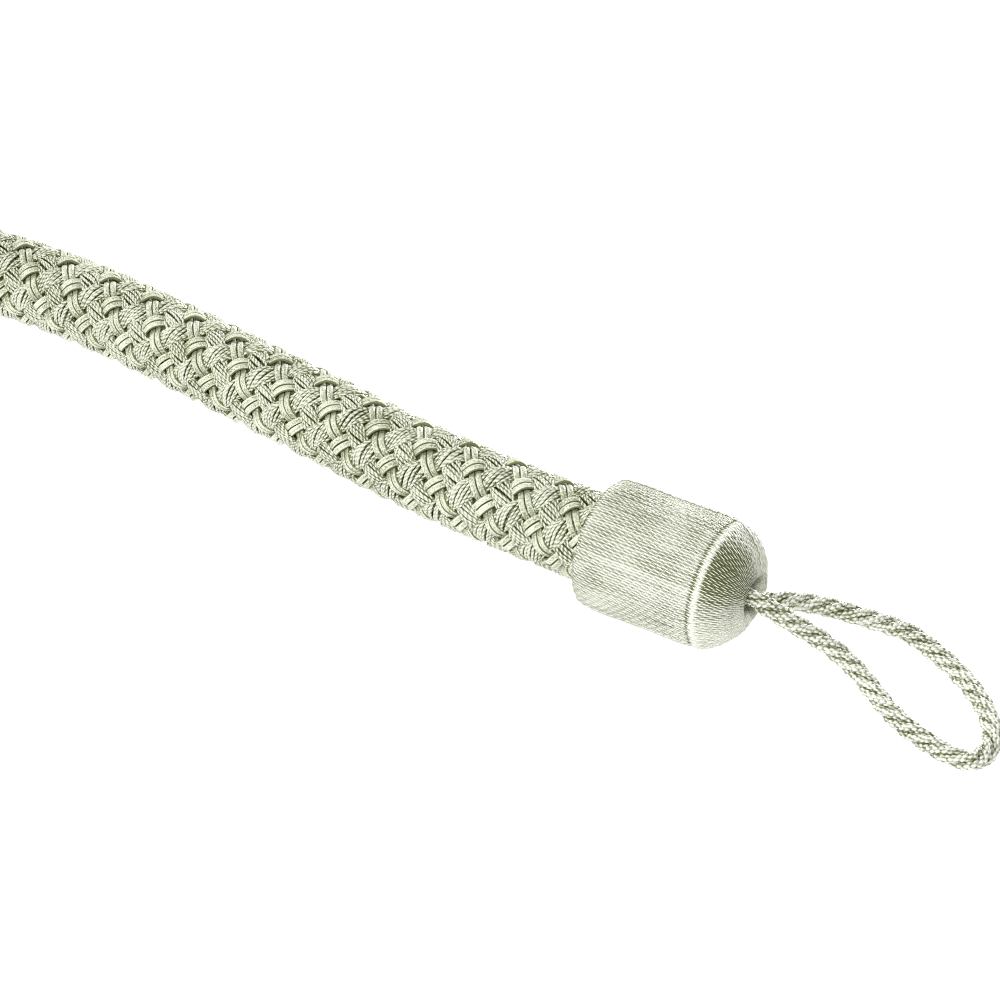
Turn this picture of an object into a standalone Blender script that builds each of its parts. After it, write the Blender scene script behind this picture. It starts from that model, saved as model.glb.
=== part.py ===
"""Rope curtain tieback lying in an open bend, a wound cap and a hook loop at each end.

Metres, +Z up, the surface it lies on at z = 0. The bend opens towards -Y, and the
origin is under the middle of the whole tieback.
"""

import math

import bpy
import numpy as np
from mathutils import Matrix, Vector

NAME = "rope_tieback"
MM = 0.001

# Braided rope
CREST_RADIUS = 10.2 * MM
VALLEY_RADIUS = 8.8 * MM
END_RADIUS = 9.9 * MM
STRANDS_AROUND = 16
BRAID_PERIOD = 13.3 * MM
ROW_TURN = math.radians(14.6)
ROPE_LIES_AT = 9.75 * MM
LIFT_LENGTH = 140 * MM
UNDERSIDE = math.radians(30)

# Middle line of the rope, from inside the right cap to inside the left one, mm
ROPE_ROUTE = [
    (130.4, 14.3),
    (120, 20.8),
    (106.3, 30.2),
    (92.5, 40.6),
    (70, 60.6),
    (46, 82.6),
    (21, 104.1),
    (-5, 122.6),
    (-36, 137.6),
    (-76, 143.6),
    (-114.5, 135.1),
    (-147.5, 112.6),
    (-169.5, 79.6),
    (-180.5, 41),
    (-185.5, 1.6),
    (-188, -38.4),
    (-189.3, -63.4),
]

# Wound cap, a turned mould under its thread; places along its axis start at the lip
CAP_STEPS = 32
CAP_RADIUS = 14.4 * MM
CAP_LENGTH = 36.8 * MM
SOCKET_RADIUS = 10.6 * MM
SOCKET_DEPTH = 6 * MM
BORE_RADIUS = 3.75 * MM
BORE_DEPTH = 8 * MM
GAP = 0.3 * MM
CAP_CENTRE = CAP_RADIUS * math.cos(math.pi / CAP_STEPS)

# Hook loop, a cord of four plies; both legs come out of the cap's bore
PLIES = 4
LAY = 18 * MM
CORD_RADIUS = 2.2 * MM
GROOVE_SHARE = 0.8
LEG_RADIUS = 1.6 * MM
SWELL_LENGTH = 8 * MM
RINGS_PER_LAY = 12

# Middle line of each loop, mm: along the cap's axis from its mouth, to its left, height
LOOP_ROUTES = {
    "right": [
        (-7.7, -1.2, 15.6),
        (-3, -1.3, 15.6),
        (0.9, -1.9, 15.5),
        (5.4, -2.4, 14.9),
        (10.5, -1.6, 12.7),
        (16.5, -0.5, 9.9),
        (22.5, -0.6, 7.1),
        (28, -2.4, 4.9),
        (33.4, -5, 3.3),
        (38.3, -7.2, 2.5),
        (44.2, -9, 2.1),
        (50.5, -10.5, 2.1),
        (55.2, -9.5, 2.1),
        (56.6, -4.4, 2.1),
        (54.6, 0.9, 2.1),
        (51.1, 5.7, 2.1),
        (46, 10.4, 2.1),
        (40.5, 13.8, 2.6),
        (34.2, 15.6, 4.1),
        (28.1, 15.5, 6.4),
        (22, 12.8, 8.7),
        (15.7, 9.5, 11),
        (9.4, 6.3, 12.5),
        (4.2, 3.2, 12.9),
        (0.5, 1, 13),
        (-3, 1.2, 13),
        (-7.7, 1.2, 13),
    ],
    "left": [
        (-7.7, 1.2, 15.6),
        (-3, 1.2, 15.6),
        (1.5, 1.3, 15.5),
        (7, 2.2, 14.6),
        (13, 4, 12.6),
        (20, 6.5, 9.6),
        (27, 8.6, 6.6),
        (34, 9.9, 4.2),
        (41, 10, 2.6),
        (48, 8.7, 2.1),
        (54, 5.2, 2.1),
        (57.2, 0, 2.1),
        (55.5, -5.4, 2.1),
        (50, -9, 2.1),
        (43, -10.8, 2.5),
        (36, -11.1, 4),
        (29, -10.3, 6.2),
        (22, -8.7, 8.8),
        (15, -6.4, 11.2),
        (9, -4.2, 12.6),
        (4, -2.1, 13),
        (0, -1.2, 13),
        (-3, -1.2, 13),
        (-7.7, -1.2, 13),
    ],
}

SAGE = (0.60, 0.65, 0.51, 1)
SAGE_THREAD = (0.68, 0.72, 0.59, 1)


def clear_scene():
    for thing in list(bpy.data.objects):
        bpy.data.objects.remove(thing)


def material(name, colour, roughness):
    """A plain shader in the part's colour."""
    made = bpy.data.materials.new(name)
    made.use_nodes = True
    shader = made.node_tree.nodes["Principled BSDF"]
    shader.inputs["Base Color"].default_value = colour
    shader.inputs["Roughness"].default_value = roughness
    shader.inputs["Metallic"].default_value = 0
    return made


def smooth_step(value):
    """0 below 0, 1 above 1, with a level start and end between."""
    held = np.clip(value, 0, 1)
    return held * held * (3 - 2 * held)


class SmoothRoute:
    """A natural cubic spline through points, read by its length from the first one."""

    def __init__(self, points):
        self.points = np.array(points, float)
        chords = np.linalg.norm(np.diff(self.points, axis=0), axis=1)
        self.knots = np.concatenate([[0], np.cumsum(chords)])
        count = len(points)
        matrix = np.eye(count)
        right = np.zeros_like(self.points)
        slopes = np.diff(self.points, axis=0) / chords[:, None]
        for i in range(1, count - 1):
            before, after = chords[i - 1], chords[i]
            matrix[i, i - 1 : i + 2] = before, 2 * (before + after), after
            right[i] = 6 * (slopes[i] - slopes[i - 1])
        self.bends = np.linalg.solve(matrix, right)
        self.fine = np.linspace(0, self.knots[-1], 4000)
        places = self.at_knot(self.fine)
        steps = np.linalg.norm(np.diff(places, axis=0), axis=1)
        self.lengths = np.concatenate([[0], np.cumsum(steps)])
        self.length = self.lengths[-1]

    def at_knot(self, knot):
        k = np.clip(np.searchsorted(self.knots, knot, side="right") - 1, 0, len(self.knots) - 2)
        span = (self.knots[k + 1] - self.knots[k])[:, None]
        left = (self.knots[k + 1] - knot)[:, None]
        right = (knot - self.knots[k])[:, None]
        bend_a, bend_b = self.bends[k], self.bends[k + 1]
        curve = (bend_a * left**3 + bend_b * right**3) / (6 * span)
        line_a = (self.points[k] / span - bend_a * span / 6) * left
        line_b = (self.points[k + 1] / span - bend_b * span / 6) * right
        return curve + line_a + line_b

    def at(self, length):
        return self.at_knot(np.interp(length, self.lengths, self.fine))


def rope_line(lengths, route):
    """Points of the rope's middle line, which rises to the caps' middle at both ends."""
    flat = route.at(lengths)
    from_end = np.minimum(lengths, route.length - lengths) - (SOCKET_DEPTH - GAP)
    share = smooth_step(1 - from_end / LIFT_LENGTH)
    height = ROPE_LIES_AT + (CAP_CENTRE - ROPE_LIES_AT) * share
    return np.column_stack([flat, height])


def frames_along(line):
    """The direction, the side to its left and the way up at each point of a line."""
    ahead = np.gradient(line, axis=0)
    ahead /= np.linalg.norm(ahead, axis=1)[:, None]
    side = np.cross((0, 0, 1), ahead)
    side /= np.linalg.norm(side, axis=1)[:, None]
    return ahead, side, np.cross(ahead, side)


def skin(name, line, angles, radii, split):
    """A closed tube: a ring of points about each point of the line, pressed flat at z = 0.

    angles and radii hold a row for each ring. split says which way a cell's diagonal runs.
    """
    _, side, up = frames_along(line)
    rings, around = radii.shape
    across = np.sin(angles)[..., None] * side[:, None] + np.cos(angles)[..., None] * up[:, None]
    points = line[:, None] + radii[..., None] * across
    points[..., 2] = np.maximum(points[..., 2], 0)
    flat = points.reshape(-1, 3).tolist()
    faces = []
    for i in range(rings - 1):
        for j in range(around):
            k = (j + 1) % around
            a, b = i * around + j, i * around + k
            c, d = a + around, b + around
            faces += [(a, d, b), (a, c, d)] if split(i, j) else [(a, c, b), (b, c, d)]
    last = (rings - 1) * around
    flat += [line[0].tolist(), line[-1].tolist()]
    start, end = len(flat) - 2, len(flat) - 1
    for j in range(around):
        k = (j + 1) % around
        faces += [(start, j, k), (end, last + k, last + j)]
    mesh = bpy.data.meshes.new(name)
    mesh.from_pydata(flat, [], faces)
    mesh.shade_smooth()
    mesh.set_sharp_from_angle(angle=math.radians(60))
    return bpy.data.objects.new(name, mesh)


def braided_rope(route):
    """The rope with a crest wherever two strands cross, and a dip between crossings."""
    step = BRAID_PERIOD / 4
    rings = round(route.length / step) + 1
    lengths = np.linspace(0, route.length, rings)
    around = np.arange(STRANDS_AROUND)
    angles = np.tile(ROW_TURN + math.tau * around / STRANDS_AROUND, (rings, 1))
    crest = (np.arange(rings)[:, None] + around) % 2 == 0
    turned = np.remainder(angles, math.tau)
    crest |= np.abs(turned - math.pi) < UNDERSIDE
    radii = np.where(crest, CREST_RADIUS, VALLEY_RADIUS)
    radii[[0, 1, -2, -1]] = END_RADIUS
    line = rope_line(lengths, route)
    return skin("braided_rope", line, angles, radii, lambda i, j: (i + j) % 2 == 0)


def cap_profile():
    """Half of the cap's section as (radius, place along the axis), mouth first, in mm."""
    length = CAP_LENGTH / MM
    bore, socket = BORE_RADIUS / MM, SOCKET_RADIUS / MM
    floor, seat = length - BORE_DEPTH / MM, SOCKET_DEPTH / MM
    wall = CAP_RADIUS / MM
    mouth = [(0, floor), (bore, floor), (bore, length - 2.8), (3.95, length - 1.4)]
    crest = [(4.5, length - 0.4), (5.5, length), (6.8, length - 0.3)]
    dome = [(9.2, length - 1.5), (10.8, length - 3), (12.3, length - 4.5)]
    shoulder = [(13.4, length - 6), (14.05, length - 8), (wall, length - 10.5)]
    lip = [(wall, 3), (14.2, 1.6), (13.6, 0.5), (12.6, 0), (11.4, 0), (socket, 0.8)]
    return mouth + crest + dome + shoulder + lip + [(socket, seat), (0, seat)]


def wound_cap(name, lip, heading):
    """The cap turned about its own Z, then laid down with one facet on the surface."""
    mesh = bpy.data.meshes.new(name)
    points = [(radius * MM, 0, place * MM) for radius, place in cap_profile()]
    mesh.from_pydata(points, [(i, i + 1) for i in range(len(points) - 1)], [])
    cap = bpy.data.objects.new(name, mesh)
    turn = cap.modifiers.new("turned", "SCREW")
    turn.axis = "Z"
    turn.angle = math.tau
    turn.steps = CAP_STEPS
    turn.render_steps = CAP_STEPS
    turn.use_merge_vertices = True
    turn.merge_threshold = 0.00001
    turn.use_smooth_shade = True
    facet = Matrix.Rotation(math.pi / CAP_STEPS, 4, "Z")
    lay_down = Matrix.Rotation(math.pi / 2, 4, "Y")
    aim = Matrix.Rotation(heading, 4, "Z")
    cap.matrix_world = Matrix.Translation(Vector(lip)) @ aim @ lay_down @ facet
    return cap


def hook_loop(name, loop_route, mouth, heading):
    """The loop's cord, thin where both legs fill the bore and full beyond it."""
    local = np.array(loop_route, float) * MM
    along = np.array([math.cos(heading), math.sin(heading), 0])
    left = np.array([-math.sin(heading), math.cos(heading), 0])
    ground = np.array([mouth[0], mouth[1], 0])
    points = ground + local[:, :1] * along + local[:, 1:2] * left + local[:, 2:] * (0, 0, 1)
    route = SmoothRoute(points)
    rings = round(route.length / LAY * RINGS_PER_LAY) + 1
    lengths = np.linspace(0, route.length, rings)
    line = route.at(lengths)
    out = (line - ground) @ along
    swell = smooth_step(out / SWELL_LENGTH)
    radius = LEG_RADIUS + (CORD_RADIUS - LEG_RADIUS) * swell
    sides = 2 * PLIES
    around = np.arange(sides)
    angles = math.tau * (around / sides + (lengths / LAY)[:, None])
    groove = np.where(around % 2 == 0, 1, GROOVE_SHARE)
    return skin(name, line, angles, radius[:, None] * groove, lambda i, j: True)


def build():
    clear_scene()
    home = bpy.data.collections.new(NAME)
    bpy.context.scene.collection.children.link(home)
    route = SmoothRoute([(x * MM, y * MM) for x, y in ROPE_ROUTE])
    rope = braided_rope(route)
    rope.data.materials.append(material("braided_yarn", SAGE, 0.7))
    home.objects.link(rope)

    seat = SOCKET_DEPTH - GAP
    ends = {"right": (seat, 0), "left": (route.length - seat, route.length)}
    for side, (near, far) in ends.items():
        lip, end = route.at(np.array([near, far]))
        way = end - lip
        heading = math.atan2(way[1], way[0])
        cap = wound_cap(f"wound_cap_{side}", (lip[0], lip[1], CAP_CENTRE), heading)
        cap.data.materials.append(material(f"wound_thread_{side}", SAGE_THREAD, 0.4))
        home.objects.link(cap)
        mouth = lip + CAP_LENGTH * np.array([math.cos(heading), math.sin(heading)])
        loop = hook_loop(f"hook_loop_{side}", LOOP_ROUTES[side], mouth, heading)
        loop.data.materials.append(material(f"loop_cord_{side}", SAGE, 0.5))
        home.objects.link(loop)


build()
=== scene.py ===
"""Looks of the rope curtain tieback: braided rope, thread-wound caps, twisted hook loops.

Metres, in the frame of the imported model. MM turns millimetres into them.
"""

import math

import bpy
import numpy as np
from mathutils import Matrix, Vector


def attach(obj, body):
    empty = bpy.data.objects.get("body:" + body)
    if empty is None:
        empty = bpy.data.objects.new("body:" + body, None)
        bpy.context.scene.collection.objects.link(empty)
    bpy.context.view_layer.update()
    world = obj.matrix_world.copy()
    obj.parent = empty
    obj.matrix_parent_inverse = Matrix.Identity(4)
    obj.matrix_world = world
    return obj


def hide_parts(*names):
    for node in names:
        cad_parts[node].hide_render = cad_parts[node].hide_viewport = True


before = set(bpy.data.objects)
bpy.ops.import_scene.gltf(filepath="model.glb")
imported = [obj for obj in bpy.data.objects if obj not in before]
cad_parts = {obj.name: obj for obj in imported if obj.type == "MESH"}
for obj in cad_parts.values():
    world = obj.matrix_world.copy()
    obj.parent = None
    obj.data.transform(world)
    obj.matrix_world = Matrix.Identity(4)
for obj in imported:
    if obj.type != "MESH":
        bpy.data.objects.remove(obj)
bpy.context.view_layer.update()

MM = 0.001

# Camera, at the photograph's viewing angle
CAMERA_AT = (0.1037, -0.5061, 0.4197)
CAMERA_TILT = math.radians(53)
CAMERA_LENS = 111.6
CAMERA_SENSOR = 36

# Middle line of the rope, from inside the right cap to inside the left one
ROPE_ROUTE = [
    (0.1304, 0.0143),
    (0.120, 0.0208),
    (0.1063, 0.0302),
    (0.0925, 0.0406),
    (0.070, 0.0606),
    (0.046, 0.0826),
    (0.021, 0.1041),
    (-0.005, 0.1226),
    (-0.036, 0.1376),
    (-0.076, 0.1436),
    (-0.1145, 0.1351),
    (-0.1475, 0.1126),
    (-0.1695, 0.0796),
    (-0.1805, 0.041),
    (-0.1855, 0.0016),
    (-0.188, -0.0384),
    (-0.1893, -0.0634),
]
ROPE_LIES_AT = 9.75 * MM
LIFT_LENGTH = 140 * MM

# Points that a curve is read from
ROUTE_SAMPLES = 4000
ROPE_SAMPLES = 3000

# How many times as short each wave of a slow random sway is, and the least size of a wave
WAVE_PARTS = (1, 1.7, 2.9)
LEAST_PART = 0.3

# Braid: 8 carriers turn each way, by turns a pair of gimp cords and a twisted bundle of floss
BRAID_SEED = 16
CARRIERS = 8
PERIODS_A_TURN = 4
BRAID_PERIOD = 13.3 * MM
BRAID_START = 0.15
TIGHTER = 0.4
TIGHTER_LENGTH = 14.6 * MM
ROW_TURN = math.radians(17)
# Past the first stretch the braid is looser, by periods, and rolled about the rope
SLACK_START = 45 * MM
LOOSER = 0.44
LOOSER_LENGTH = 105 * MM
BRAID_ROLL = math.radians(17)
ROLL_LENGTH = 50 * MM
BRAID_RADIUS = 9.2 * MM
CORE_RADIUS = 8.1 * MM
CORE_SIDES = 24
CORE_STEP = 3 * MM
GIMP_RADIUS = 0.78 * MM
GIMP_PLACES = (-0.8 * MM, 0.8 * MM)
GIMP_SIDES = 7
GIMP_STEP = 0.66 * MM
FLOSS_RADIUS = 0.44 * MM
FLOSS_THREADS = 14
FLOSS_HALF_WIDTH = 2.2 * MM
FLOSS_HALF_HEIGHT = 0.65 * MM
FLOSS_LAY = 21 * MM
STRAND_SWAY = 0.16 * MM
STRAND_WAVE = 37 * MM
THREAD_FLAT = {"gimp": 0.72, "floss": 0.9}
THREAD_SWAY = {"gimp": 0.06 * MM, "floss": 0.25 * MM}
SWAY_WAVE = 19 * MM
THREAD_LIFT = {"gimp": 0.04 * MM, "floss": 0.1 * MM}
LIFT_WAVE = 13 * MM
FLOSS_SIDES = 4
FLOSS_STEP = 1.2 * MM
# Radius of the thread's middle over and under a crossing, mm, by kind and way round
LEVELS = {
    ("gimp", 1): (9.75, 7.7),
    ("gimp", -1): (9.6, 7.8),
    ("floss", 1): (9.35, 8.3),
    ("floss", -1): (9.0, 8.3),
}

# Wound cap, lying on one of its mould's flats; places along its axis start at the lip
CAP_STEPS = 32
CAP_RADIUS = 14.4 * MM
CAP_LENGTH = 36.8 * MM
CAP_CENTRE = CAP_RADIUS * math.cos(math.pi / CAP_STEPS)
SOCKET_RADIUS = 10.6 * MM
SOCKET_DEPTH = 6 * MM
BORE_RADIUS = 3.7 * MM
BORE_DEPTH = 8 * MM
GAP = 0.3 * MM
CAP_THREADS = 144
POINTS_A_THREAD = 5
RING_STEP = 1.3 * MM
THREAD_RELIEF = 0.3 * MM
END_SEEDS = {"right": 5, "left": 4}
# Slow sway of a thread, in threads, and of its height, in shares of the relief; how uneven the
# threads' heights are; least relief, in the hole; how unevenly their twists start
CAP_SWAY = 0.16
CAP_SWAY_WAVE = 19 * MM
CAP_LIFT = 0.12
CAP_LIFT_WAVE = 15 * MM
CAP_UNEVEN = 0.22
LEAST_RELIEF = 0.12
TWIST_SPREAD = 0.1 * MM
# Painted highlight: a pale ring where the threads bend over the shoulder: radius, place; how much
# paler; half width
SHOULDER_RING = (14.1 * MM, 29.2 * MM)
RING_GLINT = 3
RING_WIDTH = 0.5 * MM
# Painted shade in a dark line beside that ring, painted highlights in bright dashes on the dome,
# dark lip, dull stretches; the dome gets painted light except for one sector of painted shade,
# placed by its angle from the top, to the left
LINE_PAINTED_SHADE = 2.5
LINE_PLACE = 1.4 * MM
LINE_WIDTH = 0.35 * MM
DOME_PAINTED_LIGHT = 0.9
SECTOR_PAINTED_SHADE = 4.7
SECTOR_AT = math.radians(-35)
SECTOR_HALF = math.radians(40)
DOME_DASH = 2.6
DOME_SPARSE = 3
DOME_GLINT_RANGE = (0.2, 1.6)
LIP_SHADE = 1.5
LIP_END = 1.3 * MM
DULL_FROM = 1.1
DULL_SHADE = 3.5
DULL_WAVE = 50 * MM

# Hook loop, a cord of four plies of twisted yarns
PLIES = 4
LAY = 18 * MM
PLY_CENTRE = 1.27 * MM
YARNS = 3
YARN_LAY = 3.6 * MM
YARN_CENTRE = 0.48 * MM
YARN_RADIUS = 0.52 * MM
YARN_SIDES = 7
YARN_STEP = 0.32 * MM
YARN_SWAY = 0.05 * MM
YARN_WAVE = 15 * MM
LEG_SHARE = 1.85 / 2.2
SWELL_LENGTH = 4 * MM

# Middle line of each loop: along the cap's axis from its mouth, to its left, height
LOOP_ROUTES = {
    "right": [
        (-0.0077, -0.0012, 0.0156),
        (-0.003, -0.0013, 0.0156),
        (0.0009, -0.0019, 0.0155),
        (0.0054, -0.0024, 0.0149),
        (0.0105, -0.0016, 0.0127),
        (0.0165, -0.0005, 0.0099),
        (0.0225, -0.0006, 0.0071),
        (0.028, -0.0024, 0.0049),
        (0.0334, -0.005, 0.0033),
        (0.0383, -0.0072, 0.0025),
        (0.0442, -0.009, 0.0021),
        (0.0505, -0.0105, 0.0021),
        (0.0552, -0.0095, 0.0021),
        (0.0566, -0.0044, 0.0021),
        (0.0546, 0.0009, 0.0021),
        (0.0511, 0.0057, 0.0021),
        (0.046, 0.0104, 0.0021),
        (0.0405, 0.0138, 0.0026),
        (0.0342, 0.0156, 0.0041),
        (0.0281, 0.0155, 0.0064),
        (0.022, 0.0128, 0.0087),
        (0.0157, 0.0095, 0.011),
        (0.0094, 0.0063, 0.0125),
        (0.0042, 0.0032, 0.0129),
        (0.0005, 0.001, 0.013),
        (-0.003, 0.0012, 0.013),
        (-0.0077, 0.0012, 0.013),
    ],
    "left": [
        (-0.0077, 0.0012, 0.0156),
        (-0.003, 0.0012, 0.0156),
        (0.0015, 0.0013, 0.0155),
        (0.007, 0.0022, 0.0146),
        (0.013, 0.004, 0.0126),
        (0.020, 0.0065, 0.0096),
        (0.027, 0.0086, 0.0066),
        (0.034, 0.0099, 0.0042),
        (0.041, 0.010, 0.0026),
        (0.048, 0.0087, 0.0021),
        (0.054, 0.0052, 0.0021),
        (0.0572, 0, 0.0021),
        (0.0555, -0.0054, 0.0021),
        (0.050, -0.009, 0.0021),
        (0.043, -0.0108, 0.0025),
        (0.036, -0.0111, 0.004),
        (0.029, -0.0103, 0.0062),
        (0.022, -0.0087, 0.0088),
        (0.015, -0.0064, 0.0112),
        (0.009, -0.0042, 0.0126),
        (0.004, -0.0021, 0.013),
        (0, -0.0012, 0.013),
        (-0.003, -0.0012, 0.013),
        (-0.0077, -0.0012, 0.013),
    ],
}

# Each thread's twist starts this far past its neighbour's
TWIST_SHIFT = 0.58 * MM

# Colours, linear
GIMP_PALE = (0.86, 0.89, 0.72, 1)
GIMP_DEEP = (0.21, 0.24, 0.11, 1)
YARN_PALE = (0.95, 0.96, 0.84, 1)
YARN_DEEP = (0.115, 0.135, 0.03, 1)
FLOSS_PALE = (0.84, 0.87, 0.72, 1)
FLOSS_DEEP = (0.14, 0.165, 0.045, 1)
CORE_COLOUR = (0.16, 0.19, 0.08, 1)
CORE_DARKER = 0.6
CORE_GRAIN = 400
CORE_ROUGHNESS = 0.8
FLOOR_COLOUR = (0.12, 0.12, 0.12, 1)
FLOOR_GLOW = 1
FLOOR_ROUGHNESS = 0.9
FLOOR_HALF = 6.0
FLOOR_DROP = 0.0001

# Twist and finish of each kind of thread; a shade says how much paler that makes it. The dash,
# ridge and groove shades paint light and shade: highlights on the plies' crests; across a thread,
# a paler middle on yarn and floss and paler rims as a painted sheen on the gimp; shade in the
# grooves
GIMP_LOOK = {
    "pitch": 0.35 * MM,
    "plies": 1,
    "slant": 1,
    "depth": 0.02 * MM,
    "roughness": 0.45,
    "sheen": 0.2,
    "shine": 0.3,
    "dash_shade": 0.1,
    "ridge_shade": -2.6,
    "groove_shade": -3.6,
    "fleck_scale": 3600,
    "fleck_shade": 3.0,
    "base_shade": 0.42,
}
YARN_LOOK = {
    "pitch": 3.86 * MM,
    "plies": 2,
    "slant": -1,
    "depth": 0.08 * MM,
    "roughness": 0.3,
    "sheen": 0,
    "shine": 1.0,
    "dash_shade": 1.2,
    "ridge_shade": 0.1,
    "groove_shade": 0,
    "fleck_scale": 3600,
    "fleck_shade": 1.2,
    "base_shade": 0.4,
}
CAP_LOOK = {**YARN_LOOK, "slant": -0.5}
FLOSS_LOOK = {
    **YARN_LOOK,
    "pitch": 2.4 * MM,
    "shine": 0.6,
    "dash_shade": 1.0,
    "ridge_shade": 0.4,
    "groove_shade": -0.5,
    "base_shade": 0.18,
}
LOOP_LOOK = {
    **YARN_LOOK,
    "pitch": 1.5 * MM,
    "dash_shade": 0.9,
    "fleck_scale": 1500,
    "fleck_shade": 1.6,
    "base_shade": 0.38,
}
IOR = 1.5
SHEEN_ROUGHNESS = 0.35
# Shade from thread to thread with the painted light and shade on the points, and in slow clouds;
# how high on a thread its groove of painted shade starts, ends
TONE_AND_PAINTED_LIGHT_SHADE = 0.25
CLOUD_SHADE = 0.8
CLOUD_SCALE = 110
GROOVE_SPAN = (0.81, 0.66)
# Painted shade: darker below a distance from the cord's middle, by so much a millimetre
DEPTH_PAINTED_SHADE = {"rope": 1.9, "loop": 4.5}
DEPTH_FROM = {"rope": 9.2 * MM, "loop": 1.75 * MM}

# Soft boxes: place, size, power in watts
LIGHTS = {
    "front_box": ((-0.62, -0.75, 0.42), (0.5, 0.3), 4.4),
    "left_box": ((-0.65, 0.55, 0.75), (0.5, 0.3), 7),
    "back_box": ((0.65, 0.9, 0.16), (0.5, 0.3), 14),
    "high_box": ((0.1, -0.7, 0.95), (0.5, 0.3), 7.5),
}
LIGHTS_AIM = (0.1, 0.03, 0.015)
SKY_STRENGTH = 0.1


def smooth_step(value):
    """0 below 0, 1 above 1, with a level start and end between."""
    held = np.clip(value, 0, 1)
    return held * held * (3 - 2 * held)


def unit(vectors):
    """The same directions, 1 long."""
    return vectors / np.linalg.norm(vectors, axis=-1, keepdims=True)


class SmoothRoute:
    """A natural cubic spline through points, read by its length from the first one."""

    def __init__(self, points):
        self.points = np.array(points, float)
        chords = np.linalg.norm(np.diff(self.points, axis=0), axis=1)
        self.knots = np.concatenate([[0], np.cumsum(chords)])
        count = len(points)
        matrix = np.eye(count)
        right = np.zeros_like(self.points)
        slopes = np.diff(self.points, axis=0) / chords[:, None]
        for i in range(1, count - 1):
            before, after = chords[i - 1], chords[i]
            matrix[i, i - 1 : i + 2] = before, 2 * (before + after), after
            right[i] = 6 * (slopes[i] - slopes[i - 1])
        self.bends = np.linalg.solve(matrix, right)
        self.fine = np.linspace(0, self.knots[-1], ROUTE_SAMPLES)
        places = self.at_knot(self.fine)
        steps = np.linalg.norm(np.diff(places, axis=0), axis=1)
        self.lengths = np.concatenate([[0], np.cumsum(steps)])
        self.length = self.lengths[-1]

    def at_knot(self, knot):
        """Points at places counted in straight steps from point to point."""
        k = np.clip(np.searchsorted(self.knots, knot, side="right") - 1, 0, len(self.knots) - 2)
        span = (self.knots[k + 1] - self.knots[k])[:, None]
        left = (self.knots[k + 1] - knot)[:, None]
        right = (knot - self.knots[k])[:, None]
        bend_a, bend_b = self.bends[k], self.bends[k + 1]
        curve = (bend_a * left**3 + bend_b * right**3) / (6 * span)
        line_a = (self.points[k] / span - bend_a * span / 6) * left
        line_b = (self.points[k + 1] / span - bend_b * span / 6) * right
        return curve + line_a + line_b

    def at(self, length):
        """Points at lengths along the curve."""
        return self.at_knot(np.interp(length, self.lengths, self.fine))


class RopeLine:
    """The rope's middle line with its side and its way up, read at any length."""

    def __init__(self, route):
        self.length = route.length
        self.places = np.linspace(0, route.length, ROPE_SAMPLES)
        from_end = np.minimum(self.places, route.length - self.places) - (SOCKET_DEPTH - GAP)
        share = smooth_step(1 - from_end / LIFT_LENGTH)
        height = ROPE_LIES_AT + (CAP_CENTRE - ROPE_LIES_AT) * share
        self.line = np.column_stack([route.at(self.places), height])
        ahead = unit(np.gradient(self.line, axis=0))
        self.side = unit(np.cross((0, 0, 1), ahead))
        self.up = np.cross(ahead, self.side)

    def read(self, values, length):
        """One of the line's tables at any lengths."""
        return np.stack([np.interp(length, self.places, values[:, k]) for k in range(3)], axis=-1)

    def outward(self, length, angle):
        """Directions away from the line, at an angle from the way up to the left."""
        side, up = self.read(self.side, length), self.read(self.up, length)
        return np.sin(angle)[..., None] * side + np.cos(angle)[..., None] * up

    def around(self, length, angle, radius):
        """Points at an angle from the way up, turning to the left, and at a radius."""
        reach = np.broadcast_to(radius, np.shape(angle))[..., None]
        return self.read(self.line, length) + reach * self.outward(length, angle)


def drift(rng, count, places, size, wave):
    """A slow random sway for each of count threads, at places along them."""
    total = np.zeros((count, len(places)))
    for part in WAVE_PARTS:
        start = rng.uniform(0, math.tau, (count, 1))
        share = rng.uniform(LEAST_PART, 1, (count, 1)) / part
        total += share * np.sin(math.tau * places * part / wave + start)
    return size * total


def point_values(mesh, name, values):
    """Numbers on a mesh's points, for its material to read."""
    layer = mesh.attributes.new(name, "FLOAT", "POINT")
    layer.data.foreach_set("value", np.ascontiguousarray(values, np.float32).ravel())


def thread_mesh(name, points, faces, face_map, tones_and_painted_light):
    """A mesh with the map, random shades and painted light that its thread material reads."""
    mesh = bpy.data.meshes.new(name)
    mesh.from_pydata(points, [], faces)
    layer = mesh.uv_layers.new(name="thread")
    layer.uv.foreach_set("vector", np.ascontiguousarray(face_map, np.float32).ravel())
    point_values(mesh, "tone_and_painted_light", tones_and_painted_light)
    return mesh


def side_faces(index):
    """Quads between rings of point numbers; the last two axes are ring and turn."""
    turn = np.roll(index, -1, axis=-1)
    corners = [index[..., :-1, :], turn[..., :-1, :], turn[..., 1:, :], index[..., 1:, :]]
    return np.stack(corners, axis=-1).reshape(-1, 4).tolist()


def corner_map(turn, low, high, shape):
    """Turn and length along at the corners of those quads."""
    corners = [(turn[:-1], low), (turn[1:], low), (turn[1:], high), (turn[:-1], high)]
    pairs = [np.stack([np.broadcast_to(part, shape) for part in pair], -1) for pair in corners]
    return np.stack(pairs, -2).reshape(-1, 2)


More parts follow.
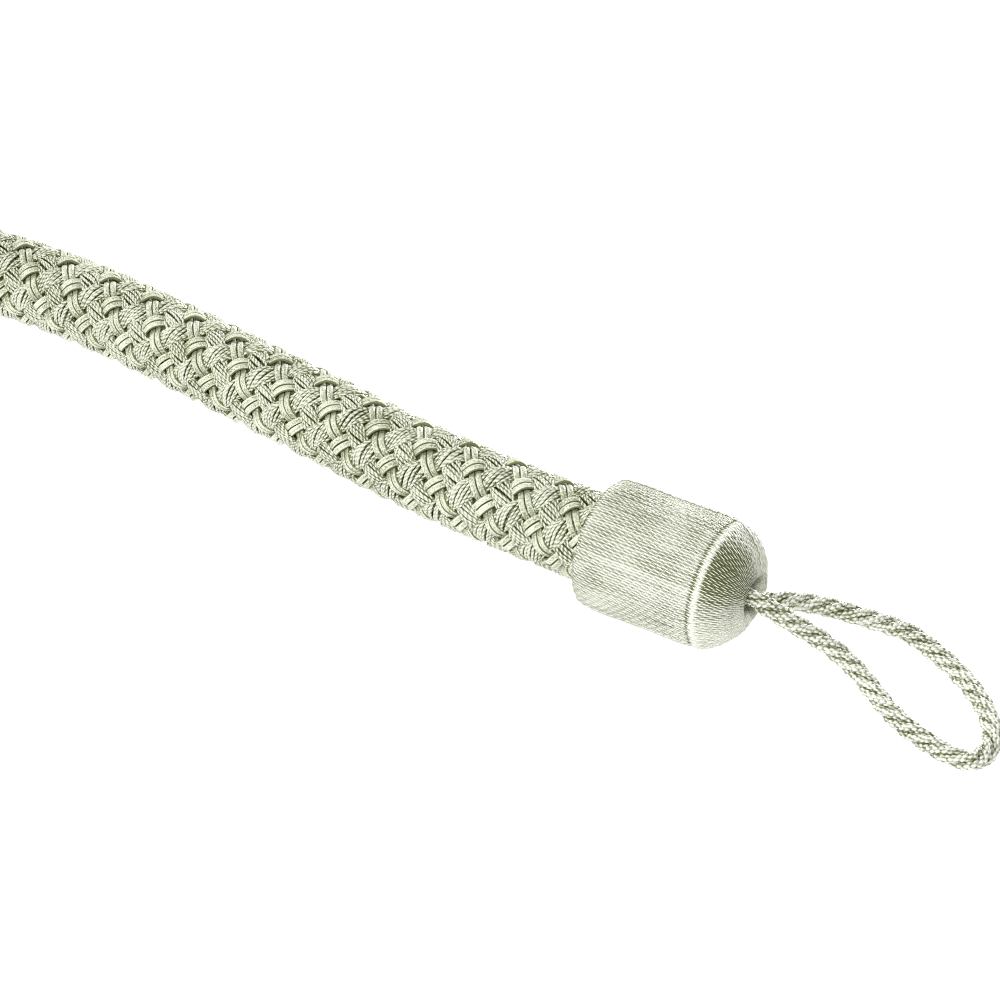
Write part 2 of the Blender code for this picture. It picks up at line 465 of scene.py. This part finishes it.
def tubes(lines, outward, radii, sides, flat):
    """Closed tubes as points, faces, and each face corner's turn and length along its tube.

    flat is a tube's height as a share of its width.
    """
    count, rings, _ = lines.shape
    ahead = unit(np.gradient(lines, axis=1))
    normal = unit(outward - (outward * ahead).sum(-1, keepdims=True) * ahead)
    across = np.cross(ahead, normal)
    normal = flat * normal
    angle = math.tau * np.arange(sides) / sides
    rise, reach = np.cos(angle)[:, None], np.sin(angle)[:, None]
    circle = rise * normal[:, :, None] + reach * across[:, :, None]
    points = lines[:, :, None] + np.broadcast_to(radii, (count, rings))[..., None, None] * circle
    points[..., 2] = np.maximum(points[..., 2], 0)

    index = np.arange(count * rings * sides).reshape(count, rings, sides)
    ends = [row[::-1].tolist() for row in index[:, 0]] + [row.tolist() for row in index[:, -1]]

    steps = np.linalg.norm(np.diff(lines, axis=1), axis=2)
    starts = np.arange(count)[:, None] * TWIST_SHIFT
    along = starts + np.concatenate([np.zeros((count, 1)), np.cumsum(steps, axis=1)], axis=1)
    low, high = along[:, :-1, None], along[:, 1:, None]
    quad_map = corner_map(np.arange(sides + 1) / sides, low, high, (count, rings - 1, sides))
    face_map = np.concatenate([quad_map, np.zeros((2 * count * sides, 2))])
    return points.reshape(-1, 3), side_faces(index) + ends, face_map


def piece(name, mesh, material):
    """A shown piece that rides on the tieback, with its material."""
    mesh.materials.append(material)
    mesh.shade_smooth()
    made = bpy.data.objects.new(name, mesh)
    bpy.context.scene.collection.objects.link(made)
    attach(made, "root")
    return made


def thread_tones_and_shade(rng, levels, what):
    """A random shade for each thread, with painted shade where the thread lies deep."""
    shades = rng.uniform(0, 1, (len(levels), 1))
    return shades + DEPTH_PAINTED_SHADE[what] * (levels - DEPTH_FROM[what]) / MM


def tube_piece(name, lines, outward, radii, sides, tones_and_painted_light, material, flat=1):
    """A shown piece of tubes, with a random shade and painted shade at each ring of each tube."""
    points, faces, face_map = tubes(lines, outward, radii, sides, flat)
    point_tones_and_shade = np.repeat(np.broadcast_to(tones_and_painted_light, lines.shape[:2]), sides)
    mesh = thread_mesh(name, points, faces, face_map, point_tones_and_shade)
    return piece(name, mesh, material)


def braid_turns(rope, length):
    """Periods of the braid from the rope's right end, packed a little closer near the caps."""
    near = 1 - np.exp(-length / TIGHTER_LENGTH)
    far = 1 - np.exp(-(rope.length - length) / TIGHTER_LENGTH)
    slack = LOOSER * smooth_step((length - SLACK_START) / LOOSER_LENGTH)
    return length / BRAID_PERIOD + TIGHTER * (near - far + 1) - BRAID_START - slack


def row_turn(length):
    """How far the rows of crossings are rolled about the rope, at lengths along it."""
    return ROW_TURN + BRAID_ROLL * smooth_step((length - SLACK_START) / ROLL_LENGTH)


def braid_threads(rope, kind, way, places, step, rng):
    """Middle lines, outward directions and radii of one kind's threads that turn one way."""
    rings = round(rope.length / step) + 1
    length = np.linspace(0, rope.length, rings)
    slope = math.tau * BRAID_RADIUS / (PERIODS_A_TURN * BRAID_PERIOD)
    lead, lean = math.cos(math.atan(slope)), math.sin(math.atan(slope))
    top, low = (value * MM for value in LEVELS[kind, way])
    first = 0 if kind == "gimp" else 1
    lines, outs, levels = [], [], []
    for carrier in range(first, CARRIERS, 2):
        strand = drift(rng, 1, length, STRAND_SWAY, STRAND_WAVE)
        sway = strand + drift(rng, len(places), length, THREAD_SWAY[kind], SWAY_WAVE)
        lift = drift(rng, len(places), length, THREAD_LIFT[kind], LIFT_WAVE)
        for place, to_side, to_top in zip(places, sway, lift):
            turn = math.tau * braid_turns(rope, length) / PERIODS_A_TURN
            if kind == "floss":
                twist = math.tau * (place / len(places) + length / (lead * FLOSS_LAY))
                offset = FLOSS_HALF_WIDTH * np.sin(twist) + to_side
                to_top = to_top + FLOSS_HALF_HEIGHT * np.cos(twist)
            else:
                offset = place + to_side
            at = np.clip(length - way * lean * offset, 0, rope.length)
            angle = row_turn(length) + math.tau * carrier / CARRIERS + way * turn
            angle = angle + lead * offset / BRAID_RADIUS
            level_turn = math.tau * braid_turns(rope, at) / PERIODS_A_TURN
            crossed = (angle - row_turn(at) + way * level_turn) * CARRIERS / math.tau
            wave = way * np.cos(math.pi * (crossed - carrier))
            radius = (top + low) / 2 + (top - low) / 2 * wave + to_top
            lines.append(rope.around(at, angle, radius))
            outs.append(rope.outward(at, angle))
            levels.append(radius)
    return np.array(lines), np.array(outs), np.array(levels)


def node(tree, kind, inputs=None, **settings):
    """A shader node with its settings, and its inputs as values or as other nodes' outputs."""
    made = tree.nodes.new(kind)
    for key, value in settings.items():
        setattr(made, key, value)
    for key, value in (inputs or {}).items():
        if isinstance(value, bpy.types.NodeSocket):
            tree.links.new(value, made.inputs[key])
        else:
            made.inputs[key].default_value = value
    return made


def maths(tree, operation, first, second=0.0, third=0.0):
    """What a Math node gives for these values or other nodes' outputs."""
    values = {0: first, 1: second, 2: third}
    return node(tree, "ShaderNodeMath", values, operation=operation).outputs[0]


def plain_shader(name, roughness, sheen=0.0, shine=0.5):
    """A material with a Principled shader, and that shader."""
    material = bpy.data.materials.new(name)
    material.use_nodes = True
    shader = material.node_tree.nodes["Principled BSDF"]
    shader.inputs["Roughness"].default_value = roughness
    shader.inputs["Specular IOR Level"].default_value = shine
    shader.inputs["IOR"].default_value = IOR
    shader.inputs["Sheen Weight"].default_value = sheen
    shader.inputs["Sheen Roughness"].default_value = SHEEN_ROUGHNESS
    return material, shader


def thread_material(name, pale, deep, look):
    """Twisted thread: plies wind round it once in a pitch; painted highlights on their crests,
    painted light and shade across it, and painted shade in every groove.
    """
    material, shader = plain_shader(name, look["roughness"], look["sheen"], look["shine"])
    tree = material.node_tree
    place = node(tree, "ShaderNodeUVMap", uv_map="thread").outputs[0]
    parts = node(tree, "ShaderNodeSeparateXYZ", {0: place})
    turn, along = parts.outputs[0], parts.outputs[1]
    tone_and_painted_light = node(tree, "ShaderNodeAttribute", attribute_name="tone_and_painted_light").outputs["Fac"]
    painted_glint = node(tree, "ShaderNodeAttribute", attribute_name="painted_glint").outputs["Fac"]
    plies = look["plies"]
    winds = maths(tree, "MULTIPLY", along, plies / look["pitch"])
    winds = maths(tree, "MULTIPLY_ADD", turn, plies * look["slant"], winds)
    wave = maths(tree, "ABSOLUTE", maths(tree, "SINE", maths(tree, "MULTIPLY", winds, math.pi)))
    ridge = maths(tree, "COSINE", maths(tree, "MULTIPLY", turn, math.tau))
    ridge = maths(tree, "MULTIPLY_ADD", ridge, 0.5, 0.5)
    # Painted highlights on the plies' crests, sparser and brighter where painted glints are set
    sharp = maths(tree, "POWER", wave, maths(tree, "MULTIPLY_ADD", painted_glint, DOME_SPARSE, 2))
    crown = maths(tree, "MULTIPLY", sharp, ridge)
    object_place = node(tree, "ShaderNodeTexCoord").outputs["Object"]
    grain = {"Vector": object_place, "Scale": look["fleck_scale"], "Detail": 1}
    fleck = node(tree, "ShaderNodeTexNoise", grain)
    patches = {"Vector": object_place, "Scale": CLOUD_SCALE, "Detail": 1}
    cloud = node(tree, "ShaderNodeTexNoise", patches)
    middle = (TONE_AND_PAINTED_LIGHT_SHADE + look["fleck_shade"] + CLOUD_SHADE) / 2
    base = look["base_shade"] - look["ridge_shade"] - middle
    # Painted shade in the groove beside each thread
    start, end = GROOVE_SPAN
    limits = {"Value": ridge, "From Min": start, "From Max": end, "To Max": look["groove_shade"]}
    groove = node(tree, "ShaderNodeMapRange", limits).outputs[0]
    dash = maths(tree, "MULTIPLY_ADD", painted_glint, DOME_DASH, look["dash_shade"])
    shade = maths(tree, "MULTIPLY_ADD", crown, dash, base)
    shade = maths(tree, "ADD", shade, groove)
    # Painted light and shade across each thread, by its ridge
    shade = maths(tree, "MULTIPLY_ADD", ridge, look["ridge_shade"], shade)
    # Random shade for each thread, with the painted light and shade that the points carry
    shade = maths(tree, "MULTIPLY_ADD", tone_and_painted_light, TONE_AND_PAINTED_LIGHT_SHADE, shade)
    shade = maths(tree, "MULTIPLY_ADD", fleck.outputs["Fac"], look["fleck_shade"], shade)
    shade = maths(tree, "MULTIPLY_ADD", cloud.outputs["Fac"], CLOUD_SHADE, shade)
    colour = node(tree, "ShaderNodeMix", {"Factor": shade, "A": deep, "B": pale}, data_type="RGBA")
    bump = node(tree, "ShaderNodeBump", {"Height": wave, "Distance": look["depth"], "Strength": 1})
    tree.links.new(colour.outputs["Result"], shader.inputs["Base Color"])
    tree.links.new(bump.outputs["Normal"], shader.inputs["Normal"])
    return material


def core_material():
    """Plain dark yarn, for what shows between the braid's threads."""
    material, shader = plain_shader("core_yarn", CORE_ROUGHNESS)
    tree = material.node_tree
    place = node(tree, "ShaderNodeTexCoord").outputs["Object"]
    noise = node(tree, "ShaderNodeTexNoise", {"Vector": place, "Scale": CORE_GRAIN})
    darker = tuple(CORE_DARKER * value for value in CORE_COLOUR[:3]) + (1,)
    inputs = {"Factor": noise.outputs["Fac"], "A": darker, "B": CORE_COLOUR}
    colour = node(tree, "ShaderNodeMix", inputs, data_type="RGBA")
    tree.links.new(colour.outputs["Result"], shader.inputs["Base Color"])
    return material


def make_camera():
    data = bpy.data.cameras.new("camera")
    data.lens = CAMERA_LENS
    data.sensor_width = CAMERA_SENSOR
    camera = bpy.data.objects.new("camera", data)
    camera.location = CAMERA_AT
    camera.rotation_euler = (CAMERA_TILT, 0, 0)
    bpy.context.scene.collection.objects.link(camera)
    bpy.context.scene.camera = camera


def make_rope(rope, gimp, floss):
    """The braid round its core."""
    rng = np.random.default_rng(BRAID_SEED)
    length = np.linspace(0, rope.length, round(rope.length / CORE_STEP) + 1)
    core_line = rope.read(rope.line, length)[None]
    core_up = rope.read(rope.up, length)[None]
    yarn = core_material()
    core = tube_piece(
        "rope_core", core_line, core_up, CORE_RADIUS, CORE_SIDES, 0, yarn
    )
    made = {}
    kinds = {
        "gimp": (GIMP_PLACES, GIMP_STEP, GIMP_RADIUS, GIMP_SIDES, gimp),
        "floss": (range(FLOSS_THREADS), FLOSS_STEP, FLOSS_RADIUS, FLOSS_SIDES, floss),
    }
    for kind, (places, step, radius, sides, material) in kinds.items():
        for way, word in ((1, "left_turning"), (-1, "right_turning")):
            lines, outs, levels = braid_threads(rope, kind, way, places, step, rng)
            lines[..., 2] = np.maximum(lines[..., 2], radius)
            # Painted shade where threads lie deep in the braid
            tones_and_painted_light = thread_tones_and_shade(rng, levels, "rope")
            name = f"{kind}_{word}"
            flat = THREAD_FLAT[kind]
            made[name] = tube_piece(
                name, lines, outs, radius, sides, tones_and_painted_light, material, flat
            )
    cord = made.pop("gimp_left_turning")
    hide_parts("braided_rope")
    start = rope.read(rope.line, np.array([SOCKET_DEPTH - GAP]))[0]


def cap_rings():
    """The cap's section from bore floor to socket floor, in rows of radius and place."""
    floor, wall, length = CAP_LENGTH - BORE_DEPTH, CAP_RADIUS, CAP_LENGTH
    corners = [
        (BORE_RADIUS, floor),
        (BORE_RADIUS, length - 2.8 * MM),
        (3.95 * MM, length - 1.4 * MM),
        (4.5 * MM, length - 0.3 * MM),
        (5.3 * MM, length + 0.1 * MM),
        (6.2 * MM, length - 0.3 * MM),
        (7 * MM, length - 0.75 * MM),
        (9.2 * MM, length - 1.7 * MM),
        (10.8 * MM, length - 3.1 * MM),
        (12.3 * MM, length - 4.7 * MM),
        (13.3 * MM, length - 6.1 * MM),
        (13.85 * MM, length - 7 * MM),
        (14.2 * MM, length - 7.8 * MM),
        (14.1 * MM, length - 8.6 * MM),
        (14.05 * MM, length - 9.1 * MM),
        (14.25 * MM, length - 10 * MM),
        (wall, length - 11.5 * MM),
        (wall, length - 15 * MM),
        (wall, length - 25 * MM),
        (wall, 3 * MM),
        (14.2 * MM, 1.6 * MM),
        (13.6 * MM, 0.5 * MM),
        (12.6 * MM, 0),
        (11.4 * MM, 0.05 * MM),
        (SOCKET_RADIUS, 0.8 * MM),
        (SOCKET_RADIUS, SOCKET_DEPTH),
    ]
    route = SmoothRoute(corners)
    parts = []
    for start, end in zip(route.knots[:-1], route.knots[1:]):
        steps = max(2, round((end - start) / RING_STEP))
        parts.append(np.linspace(start, end, steps, endpoint=False))
    return route.at_knot(np.concatenate(parts + [route.knots[-1:]]))


def cap_tones_and_light(section, along, angle, thread, rng):
    """Random shade and painted light of a cap's points: a painted highlight ring, a painted shade
    line, a dark lip, painted light on the dome with a sector of painted shade, painted glints on
    its dashes, and dull stretches of thread.
    """
    ring = along[np.argmin(np.hypot(*(section - SHOULDER_RING).T))]
    # Painted highlight along the shoulder ring
    glint = RING_GLINT * np.exp(-(((along - ring) / RING_WIDTH) ** 2))
    # Painted shade in a line beside the ring
    line = LINE_PAINTED_SHADE * np.exp(-(((along - ring - LINE_PLACE) / LINE_WIDTH) ** 2))
    lip_edge = LIP_SHADE * smooth_step((LIP_END - section[:, 1]) / MM)
    dome = smooth_step((section[:, 1] - SHOULDER_RING[1]) / MM) * smooth_step((ring - along) / MM)
    # Painted light on the dome, with painted shade in one sector
    from_sector = (angle - SECTOR_AT + math.pi) % math.tau - math.pi
    sector = SECTOR_PAINTED_SHADE * np.exp(-((from_sector / SECTOR_HALF) ** 2))
    slow = drift(rng, CAP_THREADS, along, 1, DULL_WAVE)
    dull = DULL_SHADE * np.maximum(0, slow - DULL_FROM)[thread].T
    tones_and_painted_light = (glint - line - lip_edge)[:, None] - dull + dome[:, None] * (DOME_PAINTED_LIGHT - sector)
    tones_and_painted_light += rng.uniform(0, 1, CAP_THREADS)[thread]
    # Painted glints: how bright and sparse the dome's dashes are, thread by thread
    painted_glint = dome[:, None] * rng.uniform(*DOME_GLINT_RANGE, CAP_THREADS)[thread]
    return tones_and_painted_light, painted_glint


def directions(heading):
    """The way ahead at a heading, and the way to its left."""
    ahead = np.array([math.cos(heading), math.sin(heading), 0])
    left = np.array([-math.sin(heading), math.cos(heading), 0])
    return ahead, left


def make_cap(name, lip, heading, material, rng):
    """One skin of threads that run along the cap and turn into its hole and its socket."""
    section = cap_rings()
    columns = CAP_THREADS * POINTS_A_THREAD
    column = np.arange(columns)
    thread, part = column // POINTS_A_THREAD, column % POINTS_A_THREAD / POINTS_A_THREAD
    steps = np.linalg.norm(np.diff(section, axis=0), axis=1)
    along = np.concatenate([[0], np.cumsum(steps)])
    arc = np.sqrt(np.maximum(0, 1 - (2 * part - 1) ** 2))
    sway = drift(rng, CAP_THREADS, along, CAP_SWAY, CAP_SWAY_WAVE)[thread].T
    level = rng.normal(0, CAP_UNEVEN, CAP_THREADS)[thread]
    level = level + drift(rng, CAP_THREADS, along, CAP_LIFT, CAP_LIFT_WAVE)[thread].T
    angle = math.tau * (column + sway * POINTS_A_THREAD) / columns
    share = np.clip(section[:, :1] / CAP_RADIUS, LEAST_RELIEF, 1)
    relief = THREAD_RELIEF * share * (arc[None] + level - 1)

    tangent = unit(np.gradient(section, axis=0))
    normal = np.stack([tangent[:, 1], -tangent[:, 0]], axis=1)
    if normal[len(normal) // 2, 0] < 0:
        normal = -normal
    radius = section[:, :1] + relief * normal[:, :1]
    place = section[:, 1:] + relief * normal[:, 1:]
    local = np.stack([place, radius * np.sin(angle), radius * np.cos(angle)], axis=-1)

    ahead, left = directions(heading)
    origin = np.array([lip[0], lip[1], CAP_CENTRE])
    points = origin + local[..., :1] * ahead + local[..., 1:2] * left + local[..., 2:] * (0, 0, 1)
    points[..., 2] = np.maximum(points[..., 2], 0)

    rings = len(section)
    index = np.arange(rings * columns).reshape(rings, columns)
    ends = [index[0][::-1].tolist(), index[-1].tolist()]
    turn = np.arange(columns + 1) / POINTS_A_THREAD + 0.5
    spread = np.cumsum(rng.normal(0, TWIST_SPREAD, CAP_THREADS))
    starts = thread * TWIST_SHIFT + spread[thread]
    low, high = along[:-1, None] + starts, along[1:, None] + starts
    quad_map = corner_map(turn, low, high, (rings - 1, columns))
    face_map = np.concatenate([quad_map, np.zeros((2 * columns, 2))])

    tones_and_painted_light, painted_glint = cap_tones_and_light(section, along, angle, thread, rng)
    faces = side_faces(index) + ends
    mesh = thread_mesh(name, points.reshape(-1, 3), faces, face_map, tones_and_painted_light)
    point_values(mesh, "painted_glint", painted_glint)
    return piece(name, mesh, material)


def make_loop(name, loop_route, mouth, heading, material, rng):
    """Four plies of three yarns along the loop's line, drawn in where both legs fill the hole."""
    local = np.array(loop_route, float)
    along, left = directions(heading)
    ground = np.array([mouth[0], mouth[1], 0])
    points = ground + local[:, :1] * along + local[:, 1:2] * left + local[:, 2:] * (0, 0, 1)
    route = SmoothRoute(points)
    length = np.linspace(0, route.length, round(route.length / YARN_STEP) + 1)
    line = route.at(length)
    size = LEG_SHARE + (1 - LEG_SHARE) * smooth_step(((line - ground) @ along) / SWELL_LENGTH)
    ahead = unit(np.gradient(line, axis=0))
    side = unit(np.cross((0, 0, 1), ahead))
    up = np.cross(ahead, side)
    lines, outs = [], []
    for ply in range(PLIES):
        turn = math.tau * (length / LAY + ply / PLIES)
        out = np.sin(turn)[:, None] * side + np.cos(turn)[:, None] * up
        ply_line = line + (PLY_CENTRE * size)[:, None] * out
        ply_ahead = unit(np.gradient(ply_line, axis=0))
        ply_up = unit(out - (out * ply_ahead).sum(-1, keepdims=True) * ply_ahead)
        ply_side = np.cross(ply_ahead, ply_up)
        start = rng.uniform(0, 1)
        sway = drift(rng, YARNS, length, YARN_SWAY, YARN_WAVE)
        for yarn in range(YARNS):
            twist = math.tau * (yarn / YARNS + start - length / YARN_LAY)
            reach = (YARN_CENTRE * size + sway[yarn])[:, None]
            way_out = np.sin(twist)[:, None] * ply_side + np.cos(twist)[:, None] * ply_up
            lines.append(ply_line + reach * way_out)
            outs.append(way_out)
    lines, outs = np.array(lines), np.array(outs)
    radii = YARN_RADIUS * size
    lines[..., 2] = np.maximum(lines[..., 2], radii)
    # Painted shade where yarns lie near the cord's middle
    tones_and_painted_light = thread_tones_and_shade(rng, np.linalg.norm(lines - line, axis=-1) / size, "loop")
    made = tube_piece(name, lines, outs, radii, YARN_SIDES, tones_and_painted_light, material)
    return made


def make_ends(route):
    """A cap and a loop at each end of the rope."""
    thread = thread_material("wound_thread", YARN_PALE, YARN_DEEP, CAP_LOOK)
    yarn = thread_material("loop_yarn", YARN_PALE, YARN_DEEP, LOOP_LOOK)
    seat = SOCKET_DEPTH - GAP
    ends = {"right": (seat, 0), "left": (route.length - seat, route.length)}
    for side, (near, far) in ends.items():
        rng = np.random.default_rng(END_SEEDS[side])
        lip, end = route.at(np.array([near, far]))
        way = end - lip
        heading = math.atan2(way[1], way[0])
        cap = make_cap(f"cap_{side}", lip, heading, thread, rng)
        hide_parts(f"wound_cap_{side}")
        mouth = lip + CAP_LENGTH * np.array([math.cos(heading), math.sin(heading)])
        loop = make_loop(f"loop_{side}", LOOP_ROUTES[side], mouth, heading, yarn, rng)
        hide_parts(f"hook_loop_{side}")


def make_floor():
    mesh = bpy.data.meshes.new("floor")
    half = FLOOR_HALF
    corners = [(-half, -half, 0), (half, -half, 0), (half, half, 0), (-half, half, 0)]
    mesh.from_pydata(corners, [], [(0, 1, 2, 3)])
    material, shader = plain_shader("pale_floor", FLOOR_ROUGHNESS, shine=0.0)
    shader.inputs["Base Color"].default_value = FLOOR_COLOUR
    shader.inputs["Emission Color"].default_value = (1, 1, 1, 1)
    shader.inputs["Emission Strength"].default_value = FLOOR_GLOW
    mesh.materials.append(material)
    floor = bpy.data.objects.new("floor", mesh)
    floor.location = (0, 0, -FLOOR_DROP)
    bpy.context.scene.collection.objects.link(floor)


def area_light(name, at, aim, size, power):
    """A rectangular soft box at a place, turned to face another."""
    data = bpy.data.lights.new(name, "AREA")
    data.shape = "RECTANGLE"
    data.size, data.size_y = size
    data.energy = power
    light = bpy.data.objects.new(name, data)
    light.location = at
    light.rotation_euler = (Vector(aim) - Vector(at)).to_track_quat("-Z", "Y").to_euler()
    bpy.context.scene.collection.objects.link(light)


def make_lights():
    for name, (at, size, power) in LIGHTS.items():
        area_light(name, at, LIGHTS_AIM, size, power)
    world = bpy.data.worlds.new("studio")
    world.use_nodes = True
    sky = world.node_tree.nodes["Background"]
    sky.inputs["Color"].default_value = (1, 1, 1, 1)
    sky.inputs["Strength"].default_value = SKY_STRENGTH
    bpy.context.scene.world = world
    bpy.context.scene.view_settings.view_transform = "Standard"
    bpy.context.scene.cycles.filter_width = 1


def build():
    make_camera()
    route = SmoothRoute(ROPE_ROUTE)
    rope = RopeLine(route)
    gimp = thread_material("gimp_cord", GIMP_PALE, GIMP_DEEP, GIMP_LOOK)
    floss = thread_material("floss", FLOSS_PALE, FLOSS_DEEP, FLOSS_LOOK)
    make_rope(rope, gimp, floss)
    make_ends(route)
    make_floor()
    make_lights()


build()
